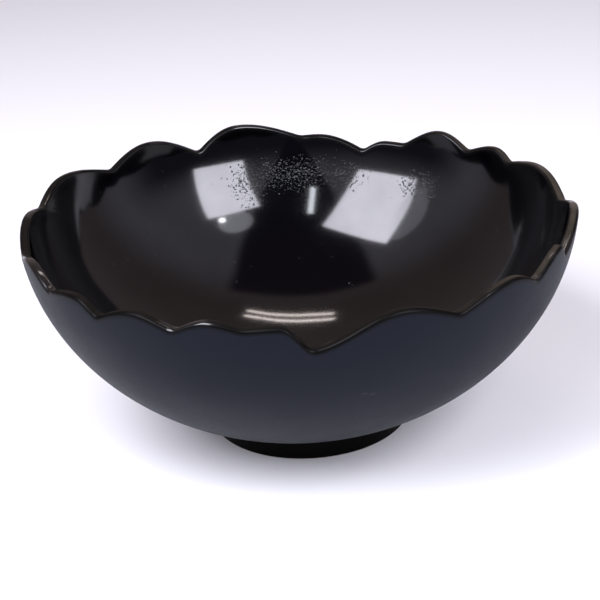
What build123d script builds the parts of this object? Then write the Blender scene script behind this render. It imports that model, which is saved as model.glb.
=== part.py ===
from build123d import *
from math import cos, pi, radians, sin, sqrt
import os

# A turned wooden bowl with a carved, scalloped rim, standing on a low glued-on foot ring.
# Millimetres, +Z up, origin at the centre of the foot's resting face.

# ---- driving dimensions --------------------------------------------------------------------

# The outside and the inside are half ellipsoids of revolution with one common centre. It lies
# above the rim's mean height, so the wall still leans a little outwards where it ends.
OUTSIDE_RADIUS = 125.5
OUTSIDE_DEPTH = 107.4
INSIDE_RADIUS = 121.3
INSIDE_DEPTH = 96.0
CENTRE_HEIGHT = 110.8

# The foot ring is glued against a flat shoulder, round a short spigot under the bowl.
FOOT_RADIUS = 46.7
SPIGOT_RADIUS = 39.0
SPIGOT_LENGTH = 3.0
FOOT_EDGE_ROUND = 0.8

# The ring's outer wall runs up to where the bowl's outside has the same radius.
FOOT_HEIGHT = CENTRE_HEIGHT - OUTSIDE_DEPTH * sqrt(1 - (FOOT_RADIUS / OUTSIDE_RADIUS) ** 2)

# The rim is carved into uneven scallops. Each is given by its first notch (angle from +X towards
# +Y, height above the mean rim, and how softly the notch is rounded, from 0 to 1) and then by
# its top (angle and height). It ends at the next scallop's notch.
MEAN_RIM_HEIGHT = 100.0
SCALLOPS = [
    (5, -5.4, 0.3, 19, 0.5),
    (31, -4.9, 0, 36, -0.4),
    (44.5, -5.6, 0.2, 52.5, 0.9),
    (62, -7.8, 0.1, 67, -7.4),
    (72.5, -12.3, 0, 84, -4.5),
    (88, -4.9, 0.1, 103.5, 3.8),
    (113.5, -6.2, 0, 127, 4.9),
    (138, -2.1, 0.1, 155.5, 6.8),
    (166.5, 0.9, 0.2, 176, 5.2),
    (190, -1.0, 0.3, 203, 5.7),
    (211.5, -0.5, 0.1, 222, 4.6),
    (227.5, -1.6, 0.1, 237, 5.4),
    (245, 0.4, 0.3, 252, 5.6),
    (258.5, 2.7, 0.3, 265.5, 3.6),
    (271, -7.7, 0.7, 287.5, 5.2),
    (299.5, -3.1, 0.1, 312, 3.3),
    (321, -4.6, 0.1, 331, 2.8),
    (334, -5.0, 0.2, 350, 3.2),
]
RIM_EDGE_ROUND = 1.2

# The carving cuts reach this far past both faces of the wall and above it.
CUT_MARGIN = 14.0
CUT_HEIGHT = 40.0
CUT_STEPS = (0, 0.25, 0.5, 0.75)


# ---- the scallops --------------------------------------------------------------------------

def climb(step, softness):
    """How far up from the notch the rim is, step of the way along to the top, both 0 to 1."""
    quarter_wave = sin(pi / 2 * step)
    return (1 - softness) * quarter_wave + softness * quarter_wave**2


def scallop_line(index, radius):
    """One scallop's edge from notch to notch, wrapped round a cylinder of the given radius."""
    notch, low, softness, top, high = SCALLOPS[index]
    next_notch, next_low, next_softness = SCALLOPS[(index + 1) % len(SCALLOPS)][:3]
    if next_notch < notch:
        next_notch += 360
    rise = [
        (notch + (top - notch) * step, low + (high - low) * climb(step, softness))
        for step in CUT_STEPS
    ]
    fall = [
        (
            next_notch + (top - next_notch) * step,
            next_low + (high - next_low) * climb(step, next_softness),
        )
        for step in (1, *reversed(CUT_STEPS))
    ]
    with BuildLine() as line:
        Spline(
            *[
                (radius * cos(radians(angle)), radius * sin(radians(angle)), MEAN_RIM_HEIGHT + height)
                for angle, height in rise + fall
            ]
        )
    return line.edge()


def scallop_face(index):
    """The carved top of one scallop, ruled straight across the wall."""
    return Face.make_surface_from_curves(
        scallop_line(index, OUTSIDE_RADIUS + CUT_MARGIN),
        scallop_line(index, INSIDE_RADIUS - CUT_MARGIN),
    )


# ---- the bowl ------------------------------------------------------------------------------

with BuildPart() as bowl_body:
    with BuildSketch(Plane.XZ) as wall_section:
        with Locations((0, CENTRE_HEIGHT)):
            Ellipse(OUTSIDE_RADIUS, OUTSIDE_DEPTH)
            Ellipse(INSIDE_RADIUS, INSIDE_DEPTH, mode=Mode.SUBTRACT)
        with Locations((0, FOOT_HEIGHT)):
            Rectangle(
                OUTSIDE_RADIUS,
                CENTRE_HEIGHT - FOOT_HEIGHT,
                align=Align.MIN,
                mode=Mode.INTERSECT,
            )
            Rectangle(SPIGOT_RADIUS, SPIGOT_LENGTH, align=(Align.MIN, Align.MAX))
    # Two half turns, kept as separate faces, give each side of the wall two plain seams.
    for half_turn in (180, -180):
        revolve(wall_section.sketch, axis=Axis.Z, revolution_arc=half_turn, clean=False)
    extrude(
        [scallop_face(index) for index in range(len(SCALLOPS))],
        amount=CUT_HEIGHT,
        dir=(0, 0, 1),
        clean=False,
        mode=Mode.SUBTRACT,
    )
    rim_edges = bowl_body.edges().filter_by(
        lambda edge: edge.bounding_box().min.Z > MEAN_RIM_HEIGHT - CUT_MARGIN
    )
    fillet(rim_edges, RIM_EDGE_ROUND)

# ---- the foot ------------------------------------------------------------------------------

with BuildPart() as foot_ring:
    with BuildSketch():
        Circle(FOOT_RADIUS)
        Circle(SPIGOT_RADIUS, mode=Mode.SUBTRACT)
    extrude(amount=FOOT_HEIGHT)
    fillet(foot_ring.edges().group_by(Axis.Z)[0], FOOT_EDGE_ROUND)

# ---- write the pieces ----------------------------------------------------------------------

os.makedirs("parts", exist_ok=True)

bowl_body.part.label = "bowl_body"
export_step(bowl_body.part, "parts/bowl_body.step")

foot_ring.part.label = "foot_ring"
export_step(foot_ring.part, "parts/foot_ring.step")
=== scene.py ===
from math import cos, pi, radians, sin

import bpy
from bpy.props import FloatProperty, FloatVectorProperty, IntProperty, PointerProperty
from mathutils import Matrix, Vector


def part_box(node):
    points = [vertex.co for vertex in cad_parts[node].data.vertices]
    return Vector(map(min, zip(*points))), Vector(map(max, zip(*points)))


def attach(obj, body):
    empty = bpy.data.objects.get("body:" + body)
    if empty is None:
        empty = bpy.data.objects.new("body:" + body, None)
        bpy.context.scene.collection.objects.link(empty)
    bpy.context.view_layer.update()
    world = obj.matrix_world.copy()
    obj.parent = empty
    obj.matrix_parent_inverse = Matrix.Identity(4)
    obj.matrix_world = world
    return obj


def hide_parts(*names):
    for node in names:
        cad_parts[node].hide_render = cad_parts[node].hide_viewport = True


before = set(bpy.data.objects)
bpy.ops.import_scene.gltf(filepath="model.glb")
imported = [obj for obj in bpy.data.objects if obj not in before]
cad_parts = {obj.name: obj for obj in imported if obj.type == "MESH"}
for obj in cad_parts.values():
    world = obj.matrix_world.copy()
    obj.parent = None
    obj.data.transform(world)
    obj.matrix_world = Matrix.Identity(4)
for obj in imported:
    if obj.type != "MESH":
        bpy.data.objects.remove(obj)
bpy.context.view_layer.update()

bl_info = {
    "name": "Scalloped lacquer bowl",
    "version": (1, 0, 0),
    "blender": (4, 5, 0),
    "location": "View3D > Sidebar > Lacquer Bowl",
    "description": "Makes a black lacquered bowl with a carved rim, its foot ring and a studio",
    "category": "Add Mesh",
}

MM = 0.001
BODY = "root"
QUARTER_TURN = pi / 2

# The CAD model's own sizes.
FOOT_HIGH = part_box("foot_ring")[1]
BOWL_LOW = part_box("bowl_body")[0]

# The rim's uneven scallops, as they are carved: the first notch (angle in degrees from +X
# towards +Y, height in mm above the mean rim, softness from 0 to 1), then the top (angle,
# height). Each one ends at the next one's notch.
SCALLOPS = [
    (5, -5.4, 0.3, 19, 0.5),
    (31, -4.9, 0, 36, -0.4),
    (44.5, -5.6, 0.2, 52.5, 0.9),
    (62, -7.8, 0.1, 67, -7.4),
    (72.5, -12.3, 0, 84, -4.5),
    (88, -4.9, 0.1, 103.5, 3.8),
    (113.5, -6.2, 0, 127, 4.9),
    (138, -2.1, 0.1, 155.5, 6.8),
    (166.5, 0.9, 0.2, 176, 5.2),
    (190, -1.0, 0.3, 203, 5.7),
    (211.5, -0.5, 0.1, 222, 4.6),
    (227.5, -1.6, 0.1, 237, 5.4),
    (245, 0.4, 0.3, 252, 5.6),
    (258.5, 2.7, 0.3, 265.5, 3.6),
    (271, -7.7, 0.7, 287.5, 5.2),
    (299.5, -3.1, 0.1, 312, 3.3),
    (321, -4.6, 0.1, 331, 2.8),
    (334, -5.0, 0.2, 350, 3.2),
]


# ---- node trees ----------------------------------------------------------------------------


class Wire:
    """A node's output. Arithmetic on wires and numbers adds Math nodes to the wire's tree."""

    def __init__(self, tree, node, output=0):
        self.tree = tree
        self.node = node
        self.socket = node.outputs[output]

    def out(self, output):
        """Another output of the same node."""
        return Wire(self.tree, self.node, output)

    def maths(self, operation, *values):
        return self.tree.add("ShaderNodeMath", {"operation": operation}, dict(enumerate(values)))

    def __add__(self, other):
        return self.maths("ADD", self, other)

    def __radd__(self, other):
        return self.maths("ADD", other, self)

    def __sub__(self, other):
        return self.maths("SUBTRACT", self, other)

    def __rsub__(self, other):
        return self.maths("SUBTRACT", other, self)

    def __mul__(self, other):
        return self.maths("MULTIPLY", self, other)

    def __rmul__(self, other):
        return self.maths("MULTIPLY", other, self)

    def __truediv__(self, other):
        return self.maths("DIVIDE", self, other)

    def __pow__(self, other):
        return self.maths("POWER", self, other)

    def __lt__(self, other):
        return self.maths("LESS_THAN", self, other)

    def sine(self):
        return self.maths("SINE", self)

    def cosine(self):
        return self.maths("COSINE", self)

    def arccosine(self):
        return self.maths("ARCCOSINE", self)

    def angle_to(self, x):
        """The direction of the point (x, this), in radians."""
        return self.maths("ARCTAN2", self, x)

    def whole(self):
        return self.maths("ROUND", self)

    def size(self):
        return self.maths("ABSOLUTE", self)

    def step(self, low, high):
        """0 below low, 1 above high, and a smooth step between them."""
        settings = {"interpolation_type": "SMOOTHSTEP"}
        return self.tree.add("ShaderNodeMapRange", settings, {0: self, 1: low, 2: high})

    def share(self, low, high):
        """How far the value is from low to high, kept between 0 and 1."""
        return self.tree.add("ShaderNodeMapRange", {"clamp": True}, {0: self, 1: low, 2: high})


class Tree:
    """A node tree being written. Every node comes from add."""

    def __init__(self, node_tree):
        self.nodes = node_tree.nodes
        self.links = node_tree.links
        self.nodes.clear()

    def add(self, kind, settings=None, inputs=None, output=0):
        """A new node with these settings, then these values or wires in its sockets."""
        node = self.nodes.new(kind)
        for name, value in (settings or {}).items():
            setattr(node, name, value)
        for place, value in (inputs or {}).items():
            if isinstance(value, Wire):
                self.links.new(value.socket, node.inputs[place])
            else:
                node.inputs[place].default_value = value
        return Wire(self, node, output) if len(node.outputs) else node

    def separate(self, vector):
        """The X, Y and Z of a vector, as three wires."""
        parts = self.add("ShaderNodeSeparateXYZ", {}, {0: vector})
        return parts, parts.out(1), parts.out(2)

    def combine(self, x, y, z):
        return self.add("ShaderNodeCombineXYZ", {}, {0: x, 1: y, 2: z})

    def noise(self, vector, scale, detail=2.0, roughness=0.5):
        """Soft noise between 0 and 1, with scale features to the metre."""
        inputs = {"Vector": vector, "Scale": scale, "Detail": detail, "Roughness": roughness}
        return self.add("ShaderNodeTexNoise", {}, inputs)

    def blend_numbers(self, factor, first, second):
        """first where factor is 0, second where it is 1."""
        return self.add("ShaderNodeMix", {}, {0: factor, 2: first, 3: second})

    def blend_colours(self, factor, first, second):
        """first where factor is 0, second where it is 1."""
        inputs = {0: factor, 6: first, 7: second}
        return self.add("ShaderNodeMix", {"data_type": "RGBA"}, inputs, output=2)

    def attribute(self, name):
        """A number that the mesh carries at each of its points."""
        return self.add("ShaderNodeAttribute", {"attribute_name": name}, output="Fac")


def opaque(colour):
    return (*colour, 1.0)


def new_material(name, write):
    """A material whose surface is what write(tree) returns."""
    material = bpy.data.materials.new(name)
    material.use_nodes = True
    tree = Tree(material.node_tree)
    tree.add("ShaderNodeOutputMaterial", {}, {"Surface": write(tree)})
    return material


# ---- the rim's rule ------------------------------------------------------------------------

NOTCH_ROUNDING_DEGREES = 0.9
NOTCH_SAMPLES = 9
STEPS_PER_SCALLOP = 36
CROWDING = 0.6


def climb(step, softness):
    """How far up from the notch the rim is, step of the way along to the top, both 0 to 1."""
    quarter_wave = sin(QUARTER_TURN * step)
    return (1 - softness) * quarter_wave + softness * quarter_wave**2


def scallop_end(index):
    """The angle where a scallop ends: the next one's notch."""
    after = SCALLOPS[(index + 1) % len(SCALLOPS)][0]
    return after if after > SCALLOPS[index][0] else after + 360


def carved_height(angle):
    """The rim's height in mm above its mean, before its notches are rounded."""
    angle = (angle - SCALLOPS[0][0]) % 360 + SCALLOPS[0][0]
    index = max(i for i, scallop in enumerate(SCALLOPS) if scallop[0] <= angle)
    notch, low, softness, top, high = SCALLOPS[index]
    next_low, next_softness = SCALLOPS[(index + 1) % len(SCALLOPS)][1:3]
    if angle < top:
        return low + (high - low) * climb((angle - notch) / (top - notch), softness)
    end = scallop_end(index)
    return next_low + (high - next_low) * climb((end - angle) / (end - top), next_softness)


def rim_height(angle):
    """The finished rim's height in mm above its mean: the carved one, averaged over a short arc."""
    reach = [2 * i / (NOTCH_SAMPLES - 1) - 1 for i in range(NOTCH_SAMPLES)]
    heights = [carved_height(angle + NOTCH_ROUNDING_DEGREES * part) for part in reach]
    return sum(heights) / NOTCH_SAMPLES


def rim_angles():
    """Angles round the rim, closest together at its notches. The last is the first again."""
    angles = []
    for index, scallop in enumerate(SCALLOPS):
        start, end = scallop[0], scallop_end(index)
        for i in range(STEPS_PER_SCALLOP):
            even = i / STEPS_PER_SCALLOP
            crowded = (1 - cos(pi * even)) / 2
            angles.append(start + (end - start) * (even + CROWDING * (crowded - even)))
    return angles + [SCALLOPS[0][0] + 360]


# ---- settings ------------------------------------------------------------------------------


def length(name, millimetres, description):
    return FloatProperty(
        name=name, description=description, default=millimetres * MM, min=0, unit="LENGTH"
    )


def angle(name, degrees, description):
    return FloatProperty(
        name=name, description=description, default=radians(degrees), subtype="ANGLE"
    )


def colour(name, default, description):
    return FloatVectorProperty(
        name=name, description=description, default=default, size=3, min=0, max=1, subtype="COLOR"
    )


def share(name, default, description):
    return FloatProperty(
        name=name, description=description, default=default, min=0, max=1, subtype="FACTOR"
    )


def whole_number(name, default, description):
    return IntProperty(name=name, description=description, default=default, min=0)


def plain_number(name, default, description):
    return FloatProperty(name=name, description=description, default=default, min=0)


class BowlSettings(bpy.types.PropertyGroup):
    outside_radius: length("Outside radius", 125.5, "Outer ellipsoid's widest radius")
    outside_depth: length("Outside depth", 107.4, "Outer ellipsoid's half height")
    inside_radius: length("Inside radius", 121.3, "Inner ellipsoid's widest radius")
    inside_depth: length("Inside depth", 96.0, "Inner ellipsoid's half height")
    centre_height: length("Centre height", 110.8, "Height of both ellipsoids' centre")
    mean_rim_height: length("Mean rim height", 100.0, "Height of the rim before it is carved")
    spigot_radius: length("Spigot radius", 39.0, "Radius of the spigot inside the foot ring")
    outer_arris: length("Outer arris", 1.6, "Rounding of the rim's outer edge")
    inner_arris: length("Inner arris", 1.3, "Rounding of the rim's inner edge")
    waviness: length("Waviness", 0.12, "How far the hand-finished inside strays from its curve")
    gloss_colour: colour("Inside colour", (0.0003, 0.0003, 0.0005), "Polished black lacquer")
    warm_colour: colour("Bottom colour", (0.0011, 0.0006, 0.0005), "Thinner lacquer lower down")
    satin_colour: colour("Outside colour", (0.0052, 0.0068, 0.0110), "Rubbed black lacquer")
    edge_colour: colour("Edge colour", (0.0012, 0.0010, 0.0009), "Thin lacquer along the rim")
    worn_colour: colour("Worn edge colour", (0.030, 0.025, 0.019), "Undercoat along the rim")
    scratch_colour: colour("Scratch colour", (0.022, 0.022, 0.023), "Scratched lacquer")
    polish_roughness: share("Polish roughness", 0.075, "Roughness of the polished top coat")
    inside_roughness: share("Inside roughness", 0.12, "Roughness of the lacquer under the polish")
    outside_roughness: share("Outside roughness", 0.46, "Roughness of the rubbed lacquer")
    rim_roughness: share("Rim roughness", 0.40, "Roughness of the handled edge")
    shine: share("Shine", 0.06, "Specular level of the lacquer where it isn't polished")


class FootSettings(bpy.types.PropertyGroup):
    edge_round: length("Edge rounding", 0.8, "Rounding of the two edges that the ring rests on")
    segments: whole_number("Segments", 256, "Steps round the ring")
    arc_steps: whole_number("Arc steps", 6, "Steps in each rounded edge")
    foot_colour: colour("Foot colour", (0.0008, 0.0008, 0.0008), "Black lacquer on the foot")
    bare_colour: colour("Bare wood colour", (0.16, 0.085, 0.04), "Wood where the lacquer wore off")
    shine: share("Shine", 0.05, "Specular level of the foot's dull lacquer")


class NibSettings(bpy.types.PropertyGroup):
    density: plain_number("Density", 150.0, "Nibs in a square centimetre where they are thickest")
    stray_density: plain_number("Stray density", 0.5, "Nibs in a square centimetre elsewhere")
    smallest: length("Smallest", 0.18, "Radius of the smallest nib")
    largest: length("Largest", 0.60, "Radius of the largest nib")
    flatness: share("Flatness", 0.24, "A nib's height as a share of its radius")
    seed: whole_number("Seed", 7, "Where the nibs fall")


class StageSettings(bpy.types.PropertyGroup):
    camera_distance: length("Camera distance", 768, "From the camera to the point it looks at")
    camera_elevation: angle("Camera elevation", 24.76, "How far down the camera looks")
    camera_roll: angle("Camera roll", 3.86, "How far the camera leans to its right")
    lens: plain_number("Lens", 99.74, "Focal length in millimetres, on a 36 mm sensor")
    floor_colour: colour("Floor colour", (0.78, 0.78, 0.78), "The pale floor")
    floor_size: length("Floor size", 8000, "Side of the square floor")
    key_brightness: plain_number("Softbox brightness", 16.0, "Radiance of the two softboxes")


# ---- making pieces with Geometry Nodes -----------------------------------------------------


def new_geometry_tree(name, inputs):
    """A Geometry Nodes group with these named inputs, and its tree and input wires."""
    group = bpy.data.node_groups.new(name, "GeometryNodeTree")
    for label, kind in inputs.items():
        group.interface.new_socket(name=label, in_out="INPUT", socket_type="NodeSocket" + kind)
    group.interface.new_socket(name="Geometry", in_out="OUTPUT", socket_type="NodeSocketGeometry")
    tree = Tree(group)
    given = tree.add("NodeGroupInput")
    return group, tree, {label: given.out(label) for label in inputs}


def finished_piece(name, group, values):
    """A plain mesh object: what a Geometry Nodes group makes with these input values."""
    collection = bpy.context.scene.collection
    maker = bpy.data.objects.new(name + "_maker", bpy.data.meshes.new(name + "_start"))
    collection.objects.link(maker)
    modifier = maker.modifiers.new(name, "NODES")
    modifier.node_group = group
    for item in group.interface.items_tree:
        if item.in_out == "INPUT":
            modifier[item.identifier] = values[item.name]
    evaluated = maker.evaluated_get(bpy.context.evaluated_depsgraph_get())
    mesh = bpy.data.meshes.new_from_object(evaluated)
    mesh.name = name
    bpy.data.objects.remove(maker)
    piece = bpy.data.objects.new(name, mesh)
    collection.objects.link(piece)
    return piece


# ---- the bowl ------------------------------------------------------------------------------

# Rows of faces in each stretch of the bowl's section, from the middle of the inside, over the
# rim, to the middle of the underside.
ROWS = {
    "inside": 54,
    "inner_arris": 6,
    "rim_top": 3,
    "outer_arris": 7,
    "outside": 54,
    "shoulder": 1,
    "spigot": 1,
    "underside": 7,
}
SEAM_GAP = 0.002 * MM
WAVES_PER_METRE = 24.0
WAVE_DETAIL = 1.5
SHARPEST_SMOOTH_EDGE = radians(40)
# The outer_side attribute is 0 all over the inside, so only the inside is below this.
INSIDE_ONLY = 0.01
BOWL_SIZES = {
    "Outside Radius": "outside_radius",
    "Outside Depth": "outside_depth",
    "Inside Radius": "inside_radius",
    "Inside Depth": "inside_depth",
    "Centre Height": "centre_height",
    "Spigot Radius": "spigot_radius",
    "Outer Arris": "outer_arris",
    "Inner Arris": "inner_arris",
    "Waviness": "waviness",
}


def crest_object(mean_rim_height):
    """Points that say how the rim runs: each one's X is an angle and its Z the rim's height."""
    mesh = bpy.data.meshes.new("crest")
    points = [(radians(a), 0, mean_rim_height + rim_height(a) * MM) for a in rim_angles()]
    mesh.from_pydata(points, [], [])
    return bpy.data.objects.new("crest", mesh)


def on_ellipse(radius, depth, centre, psi):
    """Radius and height of a half ellipse's point, psi up from its lowest one."""
    return radius * psi.sine(), centre - depth * psi.cosine()


def bowl_section(given, rim, row):
    """Radius and height of the bowl's section at each row. Each stretch adds its own run."""
    progress, first = {}, 0
    for stretch, count in ROWS.items():
        progress[stretch] = row.share(first, first + count)
        first += count
    centre = given["Centre Height"]
    inner, outer = given["Inner Arris"], given["Outer Arris"]
    inside = given["Inside Radius"], given["Inside Depth"], centre
    outside = given["Outside Radius"], given["Outside Depth"], centre

    inside_top = ((centre - rim + inner) / given["Inside Depth"]).arccosine()
    radius, height = on_ellipse(*inside, inside_top * progress["inside"])
    inside_edge = on_ellipse(*inside, inside_top)[0]

    turn = progress["inner_arris"] * QUARTER_TURN
    radius = radius + inner * (1 - turn.cosine())
    height = height + inner * turn.sine()

    outside_top = ((centre - rim + outer) / given["Outside Depth"]).arccosine()
    outside_edge, outside_edge_height = on_ellipse(*outside, outside_top)
    radius = radius + (outside_edge - outer - inside_edge - inner) * progress["rim_top"]

    turn = progress["outer_arris"] * QUARTER_TURN
    radius = radius + outer * turn.sine()
    height = height - outer * (1 - turn.cosine())

    shoulder = ((centre - given["Foot Height"]) / given["Outside Depth"]).arccosine()
    psi = outside_top + (shoulder - outside_top) * progress["outside"]
    outside_radius, outside_height = on_ellipse(*outside, psi)
    radius = radius + outside_radius - outside_edge
    height = height + outside_height - outside_edge_height

    radius = radius + (given["Spigot Radius"] - given["Foot Radius"]) * progress["shoulder"]
    height = height + (given["Underside Height"] - given["Foot Height"]) * progress["spigot"]
    radius = radius - given["Spigot Radius"] * progress["underside"]
    return radius, height, progress


def write_bowl_tree():
    """The bowl: a grid of angle by row, bent into its section and closed round its axis."""
    inputs = {"Crest": "Object", "Steps Round": "Int", "Lacquer": "Material"}
    inputs |= {name: "Float" for name in BOWL_SIZES}
    inputs |= {"Foot Radius": "Float", "Foot Height": "Float", "Underside Height": "Float"}
    group, tree, given = new_geometry_tree("scalloped_bowl", inputs)

    rows = sum(ROWS.values())
    corners = {"Vertices X": given["Steps Round"], "Vertices Y": rows + 1}
    grid = tree.add("GeometryNodeMeshGrid", {}, {"Size X": 1.0, "Size Y": 1.0} | corners)
    position = tree.add("GeometryNodeInputPosition")
    across, along, _ = tree.separate(position)
    column = ((across + 0.5) * (given["Steps Round"] - 1)).whole()
    row = ((along + 0.5) * rows).whole()
    crest = tree.add("GeometryNodeObjectInfo", {}, {"Object": given["Crest"]}, output="Geometry")
    sampled = tree.add(
        "GeometryNodeSampleIndex",
        {"data_type": "FLOAT_VECTOR"},
        {"Geometry": crest, "Value": position, "Index": column},
    )
    turn, _, rim = tree.separate(sampled)
    radius, height, progress = bowl_section(given, rim, row)

    # What the lacquer's material reads: which side a point is on, and how near the rim it is.
    labelled = grid
    labels = {
        "outer_side": progress["rim_top"],
        "rim_share": progress["inner_arris"] * (1 - progress["outer_arris"]),
        "below_rim": rim - height,
    }
    for name, value in labels.items():
        labelled = tree.add(
            "GeometryNodeStoreNamedAttribute",
            {"data_type": "FLOAT", "domain": "POINT"},
            {"Geometry": labelled, "Name": name, "Value": value},
        )
    bent = tree.add(
        "GeometryNodeSetPosition",
        {},
        {
            "Geometry": labelled,
            "Position": tree.combine(radius * turn.cosine(), radius * turn.sine(), height),
        },
    )
    closed = tree.add(
        "GeometryNodeMergeByDistance", {}, {"Geometry": bent, "Distance": SEAM_GAP}
    )

    # The inside was finished by hand, so it swells and dips a little along its normals.
    side = tree.add(
        "GeometryNodeInputNamedAttribute", {"data_type": "FLOAT"}, {"Name": "outer_side"}
    )
    waves = tree.noise(position, WAVES_PER_METRE, WAVE_DETAIL) - 0.5
    swell = waves * given["Waviness"] * 2.0 * (side < INSIDE_ONLY)
    offset = tree.add(
        "ShaderNodeVectorMath",
        {"operation": "SCALE"},
        {0: tree.add("GeometryNodeInputNormal"), "Scale": swell},
    )
    waved = tree.add("GeometryNodeSetPosition", {}, {"Geometry": closed, "Offset": offset})
    facing_out = tree.add("GeometryNodeFlipFaces", {}, {"Mesh": waved})
    smooth = tree.add("GeometryNodeSetShadeSmooth", {}, {"Geometry": facing_out})
    real = tree.add("GeometryNodeRealizeInstances", {}, {"Geometry": smooth})
    painted = tree.add(
        "GeometryNodeSetMaterial", {}, {"Geometry": real, "Material": given["Lacquer"]}
    )
    tree.add("NodeGroupOutput", {}, {"Geometry": painted})
    return group


LACQUER_IOR = 1.5
PEEL_PER_METRE = 420.0
PEEL_HEIGHT = 0.007 * MM
MOTTLE_PER_METRE = 38.0
GRAIN_PER_METRE = 456.0
GLINTS_PER_METRE = 45.0
GLINT_POLISH = 0.8
# The lacquer turns from its bottom colour to its inside colour between these heights.
WARM_BELOW, COOL_ABOVE = 25 * MM, 75 * MM
# The rim is rubbed through more and more from one X to the other.
LEAST_RUBBED, LEAST_RUBBED_X, MOST_RUBBED_X = 0.10, 40 * MM, 115 * MM
# Short scratches on the outside: angle in degrees and height in mm of the middle, half length
# in degrees and half height in mm.
SCRATCHES = [(-79.2, 66.5, 0.9, 0.6), (-77.4, 65.4, 0.8, 0.7)]
WORN_DEPTH = 1.1 * MM


def write_lacquer(tree, settings):
    """Black lacquer: a high gloss inside, rubbed satin outside, worn brown along the rim."""
    place = tree.add("ShaderNodeTexCoord", output="Object")
    across, inwards, height = tree.separate(place)
    outer_side = tree.attribute("outer_side").step(0.3, 0.7)
    below_rim = tree.attribute("below_rim")
    mottle = tree.noise(place, MOTTLE_PER_METRE, 4.0, 0.6)
    grain = tree.noise(place, GRAIN_PER_METRE, 3.0, 0.6)

    lower = 1 - height.step(WARM_BELOW, COOL_ABOVE)
    inside_colour = tree.blend_colours(
        lower, opaque(settings.gloss_colour), opaque(settings.warm_colour)
    )
    lacquer = tree.blend_colours(outer_side, inside_colour, opaque(settings.satin_colour))
    rubbed = LEAST_RUBBED + (1 - LEAST_RUBBED) * across.step(LEAST_RUBBED_X, MOST_RUBBED_X)
    worn = tree.attribute("rim_share").step(0.5, 1.0) * rubbed * mottle.step(0.2, 0.55)
    edge = 1 - below_rim.step(WORN_DEPTH, 3 * WORN_DEPTH)
    lacquer = tree.blend_colours(edge, lacquer, opaque(settings.edge_colour))
    base = tree.blend_colours(worn, lacquer, opaque(settings.worn_colour))
    turn = inwards.angle_to(across)
    for middle, level, half_width, half_height in SCRATCHES:
        reach, depth = radians(half_width), half_height * MM
        along = 1 - (turn - radians(middle)).size().step(0.5 * reach, reach)
        thick = 1 - (height - level * MM).size().step(0.3 * depth, depth)
        scratch = along * thick * outer_side
        base = tree.blend_colours(scratch, base, opaque(settings.scratch_colour))

    satin = settings.outside_roughness + (mottle - 0.5) * 0.16 + (grain - 0.5) * 0.10
    gloss = settings.inside_roughness + (mottle - 0.5) * 0.05
    roughness = tree.blend_numbers(outer_side, gloss, satin)
    roughness = tree.blend_numbers(edge, roughness, settings.rim_roughness + 0.2 * (grain - 0.5))

    handled = tree.attribute("rim_share").step(0.0, 0.6)
    glints = tree.noise(place, GLINTS_PER_METRE, 2.0).step(0.50, 0.60)
    inside_polish = (1 - outer_side) * (0.72 + 0.36 * mottle)
    polish = tree.blend_numbers(handled, inside_polish, GLINT_POLISH * glints)
    peel = tree.noise(place, PEEL_PER_METRE, 2.0)
    bump = tree.add(
        "ShaderNodeBump", {}, {"Strength": 1.0, "Distance": PEEL_HEIGHT, "Height": peel}
    )
    return tree.add(
        "ShaderNodeBsdfPrincipled",
        {},
        {
            "Base Color": base,
            "Roughness": roughness,
            "IOR": LACQUER_IOR,
            "Specular IOR Level": settings.shine,
            "Coat Weight": polish,
            "Coat Roughness": settings.polish_roughness,
            "Normal": bump,
        },
    )


class MESH_OT_scalloped_bowl(bpy.types.Operator):
    """Make the bowl itself, with its carved rim and lacquer"""

    bl_idname = "mesh.scalloped_bowl"
    bl_label = "Scalloped Bowl"

    def execute(self, context):
        settings = context.scene.lacquer_bowl
        crest = crest_object(settings.mean_rim_height)
        values = {name: getattr(settings, field) for name, field in BOWL_SIZES.items()}
        values |= {
            "Crest": crest,
            "Steps Round": len(crest.data.vertices),
            "Lacquer": new_material("black_lacquer", lambda t: write_lacquer(t, settings)),
            "Foot Radius": FOOT_HIGH.x,
            "Foot Height": FOOT_HIGH.z,
            "Underside Height": BOWL_LOW.z,
        }
        piece = finished_piece("lacquered_bowl_shell", write_bowl_tree(), values)
        bpy.data.objects.remove(crest)
        piece.data.set_sharp_from_angle(angle=SHARPEST_SMOOTH_EDGE)
        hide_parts("bowl_body")
        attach(piece, BODY)
        return {"FINISHED"}


# ---- the foot ring -------------------------------------------------------------------------


def foot_section(inner, outer, top, rounding, arc_steps):
    """The ring's section: (radius, height) points from its inner top edge round to its outer."""
    points = [(inner, top)]
    corners = ((inner + rounding, pi, 1.5 * pi), (outer - rounding, 1.5 * pi, 2 * pi))
    for middle, start, end in corners:
        for i in range(arc_steps + 1):
            turn = start + (end - start) * i / arc_steps
            points.append((middle + rounding * cos(turn), rounding + rounding * sin(turn)))
    return points + [(outer, top)]


def turned_mesh(name, section, segments):
    """A closed section turned about the Z axis, with its faces looking out."""
    points, faces = [], []
    for step in range(segments):
        turn = 2 * pi * step / segments
        points += [(radius * cos(turn), radius * sin(turn), z) for radius, z in section]
    count = len(section)
    for step in range(segments):
        here, there = step * count, (step + 1) % segments * count
        for i in range(count):
            j = (i + 1) % count
            faces.append((here + i, there + i, there + j, here + j))
    mesh = bpy.data.meshes.new(name)
    mesh.from_pydata(points, [], faces)
    mesh.shade_smooth()
    mesh.set_sharp_from_angle(angle=SHARPEST_SMOOTH_EDGE)
    return mesh


WEAR_PER_METRE = 90.0
WEAR_TOP = 0.7 * MM
FINE_PER_METRE = 500.0
FINE_HEIGHT = 0.01 * MM
FOOT_ROUGHNESS = 0.34
BARE_WOOD_ROUGHNESS = 0.75


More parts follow.
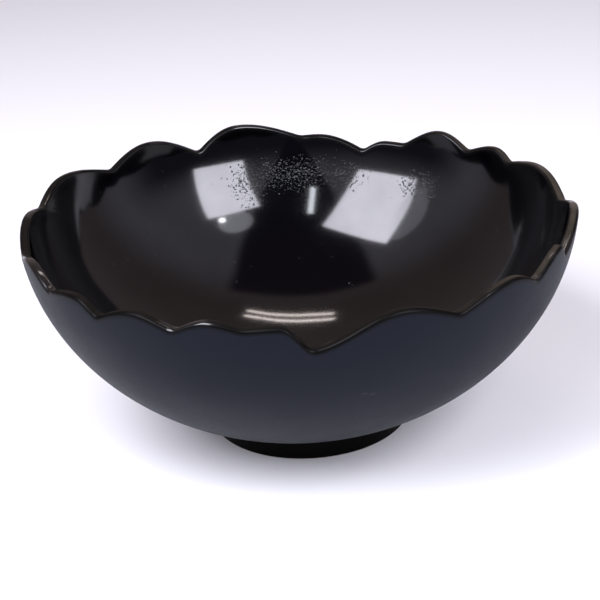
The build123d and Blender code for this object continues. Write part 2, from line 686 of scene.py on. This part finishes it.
def write_foot_lacquer(tree, settings):
    """Black satin lacquer, worn to bare wood in patches where the ring rests."""
    place = tree.add("ShaderNodeTexCoord", output="Object")
    height = tree.separate(place)[2]
    patches = tree.noise(place, WEAR_PER_METRE, 5.0, 0.65)
    worn = (1 - height.step(0.1 * MM, WEAR_TOP)) * patches.step(0.38, 0.56)
    fine = tree.noise(place, FINE_PER_METRE, 3.0)
    base = tree.blend_colours(worn, opaque(settings.foot_colour), opaque(settings.bare_colour))
    satin = FOOT_ROUGHNESS + 0.2 * (patches - 0.5)
    roughness = tree.blend_numbers(worn, satin, BARE_WOOD_ROUGHNESS)
    bump = tree.add(
        "ShaderNodeBump", {}, {"Strength": 1.0, "Distance": FINE_HEIGHT, "Height": fine}
    )
    return tree.add(
        "ShaderNodeBsdfPrincipled",
        {},
        {
            "Base Color": base,
            "Roughness": roughness,
            "IOR": LACQUER_IOR,
            "Specular IOR Level": settings.shine,
            "Normal": bump,
        },
    )


class MESH_OT_bowl_foot(bpy.types.Operator):
    """Make the foot ring that the bowl stands on"""

    bl_idname = "mesh.bowl_foot"
    bl_label = "Foot Ring"

    def execute(self, context):
        settings = context.scene.lacquer_foot
        inner = context.scene.lacquer_bowl.spigot_radius
        section = foot_section(
            inner, FOOT_HIGH.x, FOOT_HIGH.z, settings.edge_round, settings.arc_steps
        )
        mesh = turned_mesh("lacquered_foot_ring", section, settings.segments)
        lacquer = new_material("foot_lacquer", lambda t: write_foot_lacquer(t, settings))
        mesh.materials.append(lacquer)
        piece = bpy.data.objects.new("lacquered_foot_ring", mesh)
        context.scene.collection.objects.link(piece)
        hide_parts("foot_ring")
        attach(piece, BODY)
        return {"FINISHED"}


# ---- nibs in the lacquer -------------------------------------------------------------------

# Where dust set in the lacquer: angle in degrees and height in mm of a patch's middle, its
# half width in degrees and half height in mm, and its share of the full density.
NIB_PATCHES = [
    (91, 78, 14, 8, 1.0),
    (103, 75, 5, 11, 1.0),
    (56, 74, 6, 7, 1.8),
    (76, 76, 6, 7, 0.7),
    (140, 60, 12, 14, 0.1),
]
CENTIMETRES_IN_SQUARE_METRE = 10000.0
BEAD = {"Segments": 7, "Rings": 4, "Radius": 1.0}
SMALL_BEADS_PREFERRED = 3.0


def write_nib_tree():
    """Flattened beads scattered over the inside of the bowl, thickest in a few patches."""
    inputs = {
        "Bowl": "Object",
        "Density": "Float",
        "Stray Density": "Float",
        "Smallest": "Float",
        "Largest": "Float",
        "Flatness": "Float",
        "Seed": "Int",
        "Lacquer": "Material",
    }
    group, tree, given = new_geometry_tree("lacquer_nibs", inputs)
    bowl = tree.add("GeometryNodeObjectInfo", {}, {"Object": given["Bowl"]}, output="Geometry")
    x, y, height = tree.separate(tree.add("GeometryNodeInputPosition"))
    turn = y.angle_to(x)
    density = given["Stray Density"]
    for middle, level, half_width, half_height, part in NIB_PATCHES:
        sideways = (turn - radians(middle)) / radians(half_width)
        upwards = (height - level * MM) / (half_height * MM)
        distance = (sideways * sideways + upwards * upwards) ** 0.5
        density = density + given["Density"] * part * (1 - distance.step(0.2, 1.2))
    side = tree.add(
        "GeometryNodeInputNamedAttribute", {"data_type": "FLOAT"}, {"Name": "outer_side"}
    )
    scattered = tree.add(
        "GeometryNodeDistributePointsOnFaces",
        {"distribute_method": "RANDOM"},
        {
            "Mesh": bowl,
            "Selection": side < INSIDE_ONLY,
            "Density": density * CENTIMETRES_IN_SQUARE_METRE,
            "Seed": given["Seed"],
        },
    )
    bead = tree.add("GeometryNodeMeshUVSphere", {}, BEAD)
    lottery = tree.add(
        "FunctionNodeRandomValue", {"data_type": "FLOAT"}, {"Seed": given["Seed"]}, output=1
    )
    spread = lottery**SMALL_BEADS_PREFERRED
    radius = given["Smallest"] + (given["Largest"] - given["Smallest"]) * spread
    placed = tree.add(
        "GeometryNodeInstanceOnPoints",
        {},
        {
            "Points": scattered,
            "Instance": bead,
            "Rotation": scattered.out("Rotation"),
            "Scale": tree.combine(radius, radius, radius * given["Flatness"]),
        },
    )
    smooth = tree.add("GeometryNodeSetShadeSmooth", {}, {"Geometry": placed})
    real = tree.add("GeometryNodeRealizeInstances", {}, {"Geometry": smooth})
    painted = tree.add(
        "GeometryNodeSetMaterial", {}, {"Geometry": real, "Material": given["Lacquer"]}
    )
    tree.add("NodeGroupOutput", {}, {"Geometry": painted})
    return group


def write_nib_lacquer(tree, settings):
    """The same black lacquer, drawn over a speck of dust."""
    inputs = {
        "Base Color": opaque(settings.gloss_colour),
        "Roughness": settings.polish_roughness,
        "IOR": LACQUER_IOR,
    }
    return tree.add("ShaderNodeBsdfPrincipled", {}, inputs)


class MESH_OT_lacquer_nibs(bpy.types.Operator):
    """Scatter small nibs of dust over the bowl's inside, under its lacquer"""

    bl_idname = "mesh.lacquer_nibs"
    bl_label = "Lacquer Nibs"

    def execute(self, context):
        settings = context.scene.lacquer_nibs
        bowl = context.scene.lacquer_bowl
        values = {
            "Bowl": bpy.data.objects["lacquered_bowl_shell"],
            "Density": settings.density,
            "Stray Density": settings.stray_density,
            "Smallest": settings.smallest,
            "Largest": settings.largest,
            "Flatness": settings.flatness,
            "Seed": settings.seed,
            "Lacquer": new_material("nib_lacquer", lambda t: write_nib_lacquer(t, bowl)),
        }
        piece = finished_piece("lacquer_nibs", write_nib_tree(), values)
        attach(piece, BODY)
        return {"FINISHED"}


# ---- the studio ----------------------------------------------------------------------------

# Each light: azimuth from +X towards +Y and elevation in degrees, distance in mm, width and
# height in mm, sideways and upward shift in mm, lean in degrees, brightness beside a softbox's,
# and its colour. A spill is the dim glow beside a softbox. It and the bulb are round.
LIGHTS = {
    "softbox_right": (309, 31, 1000, 430, 600, 15, 55, -7, 0.92, (0.90, 0.895, 1.0)),
    "softbox_right_spill": (309, 31, 1000, 290, 260, 90, 450, -7, 0.145, (0.88, 0.90, 1.0)),
    "softbox_right_bulb": (309, 31, 990, 50, 50, 172, 380, 0, 2.2, (0.95, 0.96, 1.0)),
    "softbox_left": (222, 44, 1000, 530, 710, -50, 75, 4, 0.94, (0.90, 0.895, 1.0)),
    "softbox_left_spill": (222, 44, 1000, 240, 560, -360, 70, 0, 0.07, (0.85, 0.87, 1.0)),
    "strip": (260, 47, 1000, 42, 315, 2, 70, 0, 1.15, (0.88, 0.92, 1.0)),
    "tube_near": (85, 65, 1500, 550, 24, -40, 0, 0, 1.3, (1.0, 0.90, 0.86)),
    "tube_far": (85, 65, 1500, 550, 24, -40, -78, 0, 1.3, (1.0, 0.90, 0.86)),
}
ROUND_LIGHTS = ("_spill", "_bulb")
LIT_POINT = Vector((0, 0, 80 * MM))
LOOK_POINT = Vector((-1.7 * MM, 0, 57.7 * MM))
WATTS_PER_RADIANCE = pi


def direction(azimuth, elevation):
    """A unit vector towards an azimuth from +X and an elevation, both in degrees."""
    a, e = radians(azimuth), radians(elevation)
    return Vector((cos(a) * cos(e), sin(a) * cos(e), sin(e)))


def add_light(scene, name, key_brightness):
    """A studio light that faces the bowl."""
    azimuth, elevation, away, width, height, sideways, upwards, lean, part, tint = LIGHTS[name]
    towards = direction(azimuth, elevation)
    right = Vector((0, 0, 1)).cross(towards).normalized()
    up = towards.cross(right)
    light = bpy.data.lights.new(name, "AREA")
    light.shape = "ELLIPSE" if name.endswith(ROUND_LIGHTS) else "RECTANGLE"
    light.size, light.size_y = width * MM, height * MM
    light.energy = key_brightness * part * light.size * light.size_y * WATTS_PER_RADIANCE
    light.color = tint
    lamp = bpy.data.objects.new(name, light)
    place = LIT_POINT + (towards * away + right * sideways + up * upwards) * MM
    facing = Matrix((right, up, towards)).transposed().to_4x4()
    leaning = Matrix.Rotation(radians(lean), 4, "Z")
    lamp.matrix_world = Matrix.Translation(place) @ facing @ leaning
    scene.collection.objects.link(lamp)
    return lamp


FRONT_ROOM = (0.66, 0.64, 0.76)
BACK_ROOM = (0.30, 0.245, 0.25)
LOW_FRONT = (0.09, 0.09, 0.13)
DARK_CEILING = (0.05, 0.05, 0.085)
LOWEST_CEILING = 0.01


def write_world(world):
    """A grey room, warmer behind and darker low in front, with a dark strip of ceiling."""
    world.use_nodes = True
    tree = Tree(world.node_tree)
    x, y, z = tree.separate(tree.add("ShaderNodeTexCoord", output="Generated"))
    ceiling = z.maths("MAXIMUM", z, LOWEST_CEILING)
    dark = 1 - (x / ceiling).size().step(0.36, 0.45)
    dark = dark * (1 - (y / ceiling).step(0.17, 0.25))
    room = tree.blend_colours(y.step(-0.1, 0.35), opaque(FRONT_ROOM), opaque(BACK_ROOM))
    low = (1 - z.step(0.15, 0.5)) * (1 - y.step(-0.45, 0.0))
    room = tree.blend_colours(low, room, opaque(LOW_FRONT))
    room = tree.blend_colours(dark, room, opaque(DARK_CEILING))
    background = tree.add("ShaderNodeBackground", {}, {"Color": room, "Strength": 1.0})
    tree.add("ShaderNodeOutputWorld", {}, {"Surface": background})


def write_floor(tree, settings):
    """A plain matt floor."""
    inputs = {"Base Color": opaque(settings.floor_colour), "Roughness": 0.9, "IOR": 1.3}
    return tree.add("ShaderNodeBsdfPrincipled", {}, inputs)


FLOOR_GAP = 0.05 * MM


def add_floor(scene, settings):
    """The floor that the bowl stands on, a little below the foot so that they don't flicker."""
    half = settings.floor_size / 2
    low = -FLOOR_GAP
    mesh = bpy.data.meshes.new("floor")
    corners = [(-half, -half, low), (half, -half, low), (half, half, low), (-half, half, low)]
    mesh.from_pydata(corners, [], [(0, 1, 2, 3)])
    mesh.materials.append(new_material("pale_floor", lambda t: write_floor(t, settings)))
    floor = bpy.data.objects.new("floor", mesh)
    scene.collection.objects.link(floor)
    return floor


def add_camera(scene, settings):
    """The camera, in front of the bowl and a little above it."""
    towards = Vector((0, -cos(settings.camera_elevation), sin(settings.camera_elevation)))
    place = LOOK_POINT + towards * settings.camera_distance
    data = bpy.data.cameras.new("camera")
    data.lens = settings.lens
    camera = bpy.data.objects.new("camera", data)
    look = (-towards).to_track_quat("-Z", "Y").to_matrix().to_4x4()
    lean = Matrix.Rotation(-settings.camera_roll, 4, "Z")
    camera.matrix_world = Matrix.Translation(place) @ look @ lean
    scene.collection.objects.link(camera)
    scene.camera = camera


class SCENE_OT_bowl_studio(bpy.types.Operator):
    """Set up the floor, the lights and the camera"""

    bl_idname = "scene.bowl_studio"
    bl_label = "Studio"

    def execute(self, context):
        scene = context.scene
        settings = scene.bowl_stage
        lamps = [add_light(scene, name, settings.key_brightness) for name in LIGHTS]
        add_floor(scene, settings)
        add_camera(scene, settings)
        scene.world = bpy.data.worlds.new("room")
        write_world(scene.world)
        scene.view_settings.view_transform = "Standard"
        return {"FINISHED"}


# ---- the add-on ----------------------------------------------------------------------------


class VIEW3D_PT_lacquer_bowl(bpy.types.Panel):
    """The bowl's settings, and a button for each of its pieces"""

    bl_label = "Lacquer Bowl"
    bl_space_type = "VIEW_3D"
    bl_region_type = "UI"
    bl_category = "Lacquer Bowl"

    def draw(self, context):
        for pointer, _, operator in SECTIONS:
            box = self.layout.box()
            box.operator(operator.bl_idname)
            settings = getattr(context.scene, pointer)
            for field in settings.bl_rna.properties:
                if not field.is_readonly and field.identifier != "name":
                    box.prop(settings, field.identifier)


SECTIONS = (
    ("lacquer_bowl", BowlSettings, MESH_OT_scalloped_bowl),
    ("lacquer_foot", FootSettings, MESH_OT_bowl_foot),
    ("lacquer_nibs", NibSettings, MESH_OT_lacquer_nibs),
    ("bowl_stage", StageSettings, SCENE_OT_bowl_studio),
)


def register():
    for pointer, settings, operator in SECTIONS:
        bpy.utils.register_class(settings)
        bpy.utils.register_class(operator)
        setattr(bpy.types.Scene, pointer, PointerProperty(type=settings))
    bpy.utils.register_class(VIEW3D_PT_lacquer_bowl)


def unregister():
    bpy.utils.unregister_class(VIEW3D_PT_lacquer_bowl)
    for pointer, settings, operator in reversed(SECTIONS):
        delattr(bpy.types.Scene, pointer)
        bpy.utils.unregister_class(operator)
        bpy.utils.unregister_class(settings)


def main():
    register()
    bpy.ops.mesh.scalloped_bowl()
    bpy.ops.mesh.bowl_foot()
    bpy.ops.mesh.lacquer_nibs()
    bpy.ops.scene.bowl_studio()


if __name__ == "__main__":
    main()
